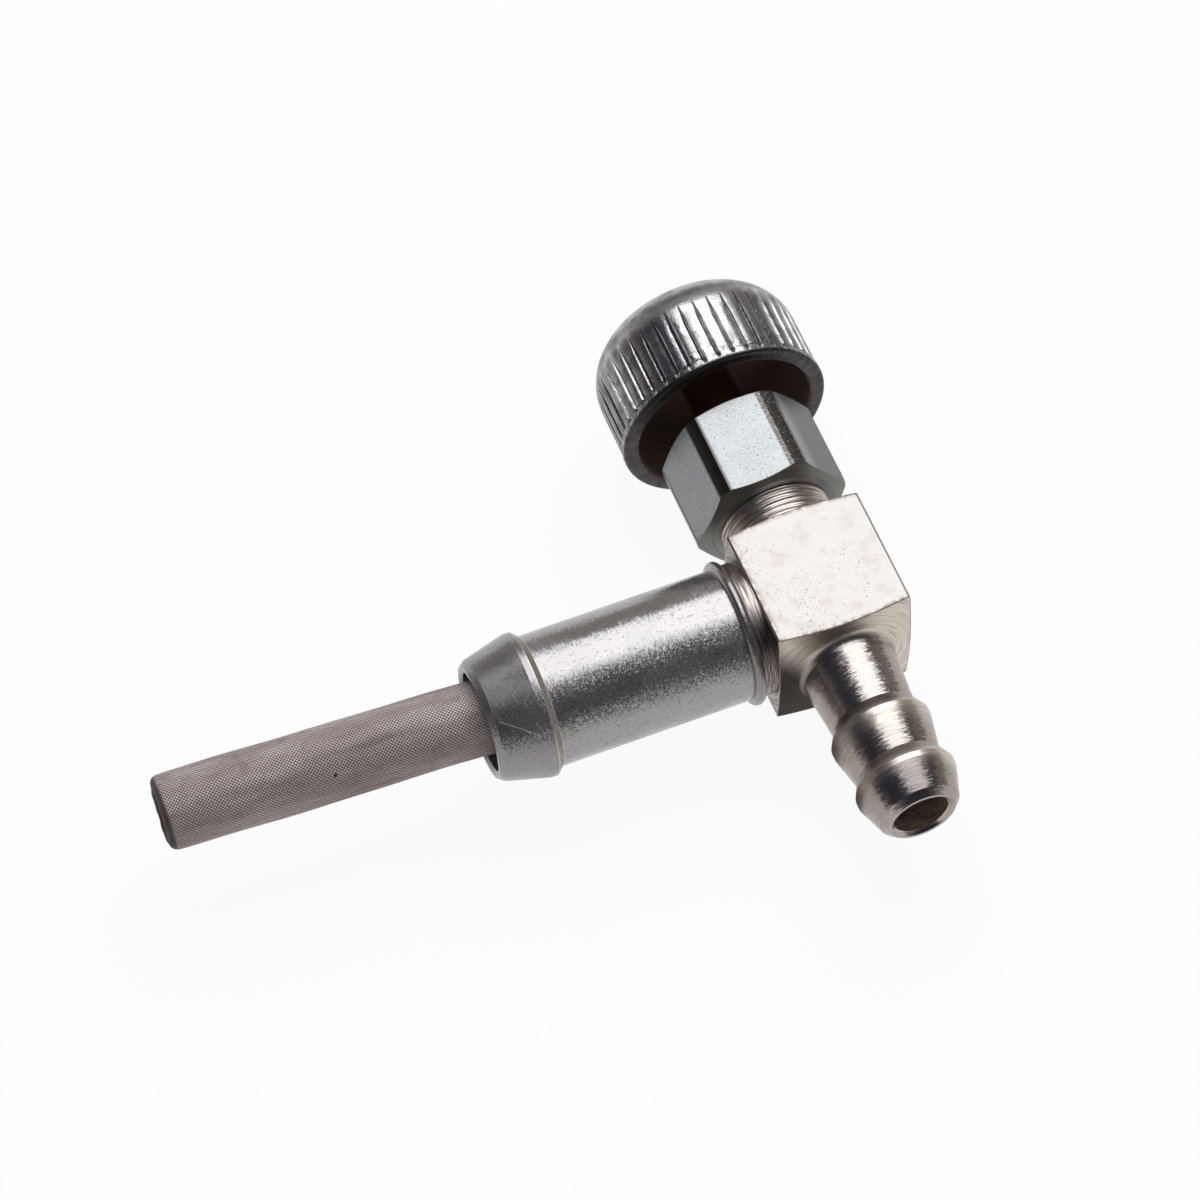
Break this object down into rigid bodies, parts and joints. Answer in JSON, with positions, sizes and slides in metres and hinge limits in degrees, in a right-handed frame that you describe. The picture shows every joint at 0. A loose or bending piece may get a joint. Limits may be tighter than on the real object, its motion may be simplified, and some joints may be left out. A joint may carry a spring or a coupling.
{
  "type": "fuel tap",
  "caption": "Screw-down fuel tap with a barbed tank stem, a gauze strainer, a fluted knob on a packed spindle and a barbed hose outlet.",
  "frame": {"origin": "centre of the inlet stem in the plane of its bead, where it seats on the tank", "axes": "-X along the inlet stem and strainer, -Y along the hose outlet with the knob at +Y, +Z out of the flat front of the square body, which faces up as the tap lies"},
  "size_m": [0.0589, 0.0467, 0.0164],
  "materials": {
    "body": "satin",
    "stem": "bright",
    "gauze": "matt",
    "zinc": "satin",
    "knob": "bright",
    "spindle": "satin",
    "seal": "matt"
  },
  "bodies": {
    "root": {"valve_body": "body", "inlet_stem": "stem", "filter_screen": "gauze", "filter_ferrule": "body", "gland_nut": "zinc", "gland_follower": "zinc", "gland_packing": "seal"},
    "tip": {"valve_tip": "seal"},
    "spindle_and_knob": {"spindle": "spindle", "knob": "knob"}
  },
  "joints": [
    {"name": "spindle_rise", "type": "slide", "parent": "root", "child": "tip", "axis": [0, 1, 0], "range_m": [-0.00148, 0.00101]},
    {"name": "knob_turn", "type": "hinge", "parent": "tip", "child": "spindle_and_knob", "pos_m": [0.007, 0.02, 0], "axis": [0, 1, 0], "range_deg": [-530, 360]}
  ],
  "couplings": [
    {"joint": "spindle_rise", "follows": "knob_turn", "m_per_rad": 0.00015915}
  ]
}
